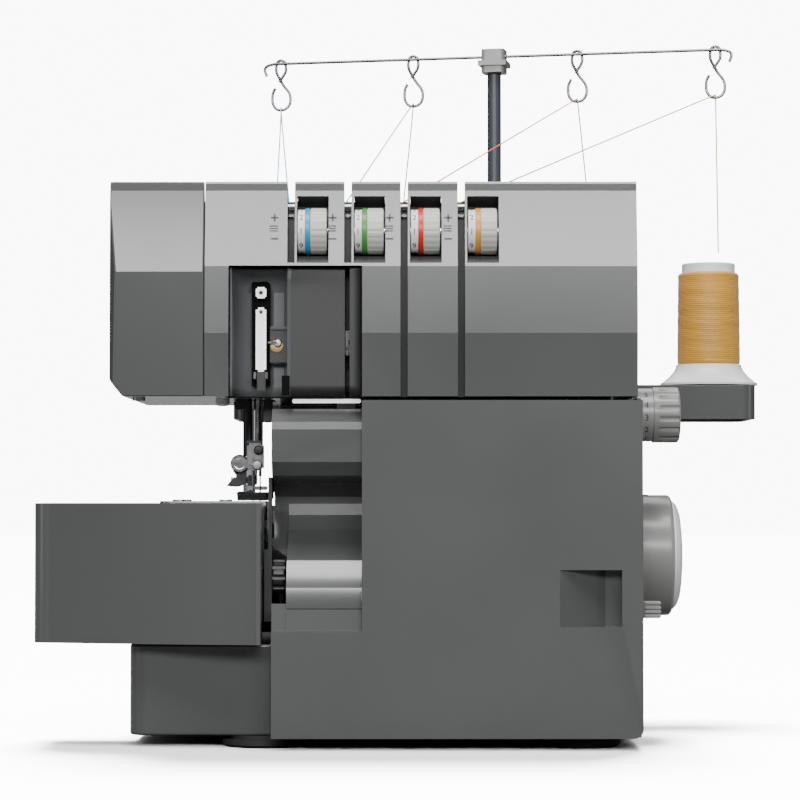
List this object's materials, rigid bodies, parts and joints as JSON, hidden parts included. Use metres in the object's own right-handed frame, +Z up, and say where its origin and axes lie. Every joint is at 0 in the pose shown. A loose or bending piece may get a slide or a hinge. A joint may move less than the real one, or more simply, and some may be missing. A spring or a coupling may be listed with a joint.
{
  "type": "serger overlock machine",
  "caption": "Domestic overlock sewing machine with a creased two-part head, dial tensions, hinged looper cover, extension table and telescopic thread stand",
  "frame": {"origin": "centre of the object's footprint box on the surface that it stands on, threads left out", "axes": "+Z up, -Y towards the user's side with the looper cover, +X towards the handwheel"},
  "size_m": [0.408, 0.2657, 0.4],
  "materials": {
    "cover_grey": "satin moulded grey",
    "dark_grey": "dark moulded",
    "black_plastic": "black moulded",
    "rubber_black": "matt",
    "white_plastic": "white moulded",
    "wheel_grey": "satin grey",
    "dial_grey": "warm grey ribbed",
    "steel": "ground steel",
    "bright_chrome": "bright",
    "cast_metal": "die cast",
    "bronze": "sintered bronze",
    "belt_rubber": "ribbed",
    "motor_steel": "zinc and paint",
    "pole_paint": "satin blue-grey",
    "lamp_white": "milky",
    "spool_thread": "wound thread",
    "thread_blue": "twisted thread",
    "thread_green": "twisted thread",
    "thread_red": "twisted thread",
    "thread_gold": "twisted thread",
    "machine_screws": "zinc plated"
  },
  "bodies": {
    "machine": {"feet": "rubber_black", "base_pan": "dark_grey", "left_base_cover": "cover_grey", "rear_cover": "cover_grey", "side_cover": "cover_grey", "power_inlet": "black_plastic", "head_cover": "cover_grey", "head_rear_cover": "cover_grey", "face_cover": "cover_grey", "recess_panel": "dark_grey", "thread_guides": "white_plastic", "wire_guides": "bright_chrome", "frame_casting": "cast_metal", "shaft_bushes": "bronze", "motor_body": "motor_steel", "drive_belt": "belt_rubber", "presser_spring": "steel", "needle_plate": "steel", "free_arm_cover": "cover_grey", "lower_knife": "steel", "lamp_lens": "lamp_white", "screws": "machine_screws", "thread_tray": "cover_grey", "cone_bases": "white_plastic", "thread_spools": "spool_thread", "lower_tube": "pole_paint", "thread_blue": "thread_blue", "thread_green": "thread_green", "thread_red": "thread_red", "thread_gold": "thread_gold"},
    "cover_slider": {"cover_hinge_rod": "steel"},
    "front_cover": {"front_cover": "cover_grey"},
    "drive": {"main_shaft": "steel", "shaft_pulley": "black_plastic", "handwheel": "wheel_grey"},
    "motor_rotor": {"motor_pulley": "steel"},
    "needle_drive": {"needle_bar": "bright_chrome", "needle_clamp": "bright_chrome", "needles": "bright_chrome"},
    "lower_looper": {"lower_looper": "bright_chrome"},
    "upper_looper": {"upper_looper": "bright_chrome"},
    "feed_dogs": {"feed_dogs": "steel"},
    "knife_arm": {"knife_arm": "black_plastic"},
    "knife_knob": {"knife_knob": "black_plastic"},
    "presser": {"presser_bar": "bright_chrome", "presser_foot": "bright_chrome", "foot_holder": "steel"},
    "lifter": {"lifter_lever": "steel"},
    "length_dial": {"length_dial": "wheel_grey"},
    "feed_lever": {"feed_lever": "wheel_grey"},
    "extension_table": {"extension_table": "cover_grey"},
    "switch_rocker": {"switch_rocker": "black_plastic"},
    "antenna": {"upper_pole": "pole_paint", "pole_cap": "wheel_grey", "guide_bar": "bright_chrome"},
    "dial_blue": {"tension_dial_blue": "dial_grey"},
    "dial_green": {"tension_dial_green": "dial_grey"},
    "dial_red": {"tension_dial_red": "dial_grey"},
    "dial_gold": {"tension_dial_gold": "dial_grey"}
  },
  "joints": [
    {"name": "cover_slide", "type": "slide", "parent": "machine", "child": "cover_slider", "axis": [1, 0, 0], "range_m": [0, 0.006]},
    {"name": "cover_hinge", "type": "hinge", "parent": "cover_slider", "child": "front_cover", "pos_m": [-0.01, -0.12415, 0.011], "axis": [1, 0, 0], "range_deg": [0, 80]},
    {"name": "handwheel_turn", "type": "hinge", "parent": "machine", "child": "drive", "pos_m": [-0.01, -0.03615, 0.0996], "axis": [1, 0, 0], "range_deg": [-110.6, 69.4]},
    {"name": "motor_turn", "type": "hinge", "parent": "machine", "child": "motor_rotor", "pos_m": [-0.01, 0.00885, 0.048], "axis": [1, 0, 0], "range_deg": [-361, 227]},
    {"name": "needle_stroke", "type": "slide", "parent": "machine", "child": "needle_drive", "axis": [0, 0, 1], "range_m": [-0.0102, 0.0162]},
    {"name": "lower_looper_swing", "type": "hinge", "parent": "machine", "child": "lower_looper", "pos_m": [-0.064, -0.05115, 0.1], "axis": [0, 1, 0], "range_deg": [-14.6, 9.2]},
    {"name": "upper_looper_swing", "type": "hinge", "parent": "machine", "child": "upper_looper", "pos_m": [-0.056, -0.05115, 0.112], "axis": [0, 1, 0], "range_deg": [-11.3, 7.2]},
    {"name": "feed_stroke", "type": "slide", "parent": "machine", "child": "feed_dogs", "axis": [0, 1, 0], "range_m": [-0.0012, 0.0008]},
    {"name": "knife_stroke", "type": "slide", "parent": "machine", "child": "knife_arm", "axis": [0, 0, 1], "range_m": [-0.0032, 0.005]},
    {"name": "knife_knob_turn", "type": "hinge", "parent": "knife_arm", "child": "knife_knob", "pos_m": [-0.074, -0.10515, 0.0895], "axis": [1, 0, 0], "range_deg": [0, 90]},
    {"name": "lifter_turn", "type": "hinge", "parent": "machine", "child": "lifter", "pos_m": [-0.078, 0.01885, 0.212], "axis": [0, -1, 0], "range_deg": [0, 50]},
    {"name": "presser_lift", "type": "slide", "parent": "machine", "child": "presser", "axis": [0, 0, 1], "range_m": [0, 0.0056], "deforming": ["presser_spring"]},
    {"name": "length_dial_turn", "type": "hinge", "parent": "machine", "child": "length_dial", "pos_m": [0.12, -0.07115, 0.176], "axis": [1, 0, 0], "range_deg": [-140, 140]},
    {"name": "feed_lever_turn", "type": "hinge", "parent": "machine", "child": "feed_lever", "pos_m": [0.112, -0.07315, 0.072], "axis": [1, 0, 0], "range_deg": [-20, 20]},
    {"name": "table_slide", "type": "slide", "parent": "machine", "child": "extension_table", "axis": [-1, 0, 0], "range_m": [0, 0.12]},
    {"name": "switch_tip", "type": "hinge", "parent": "machine", "child": "switch_rocker", "pos_m": [0.1134, 0.03685, 0.07], "axis": [0, 1, 0], "range_deg": [-9, 9]},
    {"name": "antenna_slide", "type": "slide", "parent": "machine", "child": "antenna", "axis": [0, 0, -1], "range_m": [0, 0.06], "deforming": ["thread_blue", "thread_green", "thread_red", "thread_gold"]},
    {"name": "dial_blue_turn", "type": "hinge", "parent": "machine", "child": "dial_blue", "pos_m": [-0.0588, -0.12055, 0.2709], "axis": [1, 0, 0], "range_deg": [-150, 150]},
    {"name": "dial_green_turn", "type": "hinge", "parent": "machine", "child": "dial_green", "pos_m": [-0.0291, -0.12055, 0.2709], "axis": [1, 0, 0], "range_deg": [-150, 150]},
    {"name": "dial_red_turn", "type": "hinge", "parent": "machine", "child": "dial_red", "pos_m": [0.0003, -0.12055, 0.2709], "axis": [1, 0, 0], "range_deg": [-150, 150]},
    {"name": "dial_gold_turn", "type": "hinge", "parent": "machine", "child": "dial_gold", "pos_m": [0.0302, -0.12055, 0.2709], "axis": [1, 0, 0], "range_deg": [-150, 150]}
  ],
  "couplings": [
    {"joint": "motor_turn", "follows": "handwheel_turn", "ratio": 3.25},
    {"joint": "needle_stroke", "follows": "handwheel_turn", "m_per_rad": -0.00828},
    {"joint": "lower_looper_swing", "follows": "handwheel_turn", "ratio": 0.13},
    {"joint": "upper_looper_swing", "follows": "handwheel_turn", "ratio": 0.1},
    {"joint": "feed_stroke", "follows": "handwheel_turn", "m_per_rad": 0.0006},
    {"joint": "knife_stroke", "follows": "handwheel_turn", "m_per_rad": -0.0025},
    {"joint": "presser_lift", "follows": "lifter_turn", "m_per_rad": 0.0063}
  ]
}
